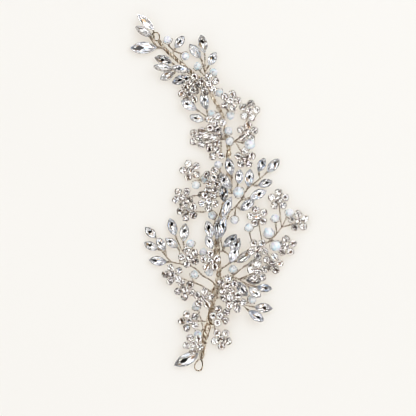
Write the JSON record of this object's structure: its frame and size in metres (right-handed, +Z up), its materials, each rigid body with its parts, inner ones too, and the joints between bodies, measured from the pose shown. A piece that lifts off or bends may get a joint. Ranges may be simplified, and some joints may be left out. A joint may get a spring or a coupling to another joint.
{
  "type": "hair vine",
  "caption": "Bridal hair vine: a wound wire stem with sprays of stone-set flowers, pointed leaf stones and pale glass beads, and a pin loop at each end.",
  "frame": {"origin": "middle of the lower end loop's bend, on the surface the vine lies on", "axes": "+Y from the lower loop towards the tip, along the length; +X to the right as seen from above; +Z up, away from the surface"},
  "size_m": [0.0806, 0.1589, 0.0106],
  "materials": {
    "silver_plate": "polished silver plate with a warm tint",
    "stem_wire": "wound fine wire, satin champagne",
    "round_stone": "clear cut crystal, foiled back",
    "leaf_stone": "clear cut crystal, foiled back",
    "bead_glass": "faceted pale crystal with an iridescent coat"
  },
  "bodies": {
    "root": {"stem": "stem_wire", "lower_loop": "silver_plate", "upper_loop": "silver_plate", "tip_spray": "silver_plate", "upper_left_spray": "silver_plate", "left_tuft_spray": "silver_plate", "left_pair_spray": "silver_plate", "top_right_spray": "silver_plate", "upper_flower_spray": "silver_plate", "left_mid_spray": "silver_plate", "right_upper_spray": "silver_plate", "right_pair_spray": "silver_plate", "left_flower_spray": "silver_plate", "left_upper_spray": "silver_plate", "left_flat_spray": "silver_plate", "left_curl_spray": "silver_plate", "right_fan_spray": "silver_plate", "centre_leaf_spray": "silver_plate", "heart_leaf_spray": "silver_plate", "inner_leaf_spray": "silver_plate", "right_main_spray": "silver_plate", "right_lower_spray": "silver_plate", "right_low_spray": "silver_plate", "left_long_spray": "silver_plate", "left_heart_spray": "silver_plate", "left_low_spray": "silver_plate", "bottom_left_spray": "silver_plate", "lowest_spray": "silver_plate", "bottom_right_spray": "silver_plate", "upper_flower_stones": "round_stone", "lower_flower_stones": "round_stone", "glass_beads": "bead_glass", "small_leaf_stones": "leaf_stone", "leaf_stone_01": "leaf_stone", "leaf_stone_02": "leaf_stone", "leaf_stone_03": "leaf_stone", "leaf_stone_04": "leaf_stone", "leaf_stone_05": "leaf_stone", "leaf_stone_06": "leaf_stone", "leaf_stone_07": "leaf_stone", "leaf_stone_08": "leaf_stone", "leaf_stone_09": "leaf_stone", "leaf_stone_10": "leaf_stone", "leaf_stone_11": "leaf_stone", "leaf_stone_12": "leaf_stone", "leaf_stone_13": "leaf_stone", "leaf_stone_14": "leaf_stone", "leaf_stone_15": "leaf_stone", "leaf_stone_16": "leaf_stone", "leaf_stone_17": "leaf_stone", "leaf_stone_18": "leaf_stone", "leaf_stone_19": "leaf_stone", "leaf_stone_20": "leaf_stone", "leaf_stone_21": "leaf_stone", "leaf_stone_22": "leaf_stone", "leaf_stone_23": "leaf_stone", "leaf_stone_24": "leaf_stone", "leaf_stone_25": "leaf_stone", "leaf_stone_26": "leaf_stone", "leaf_stone_27": "leaf_stone"}
  },
  "joints": []
}
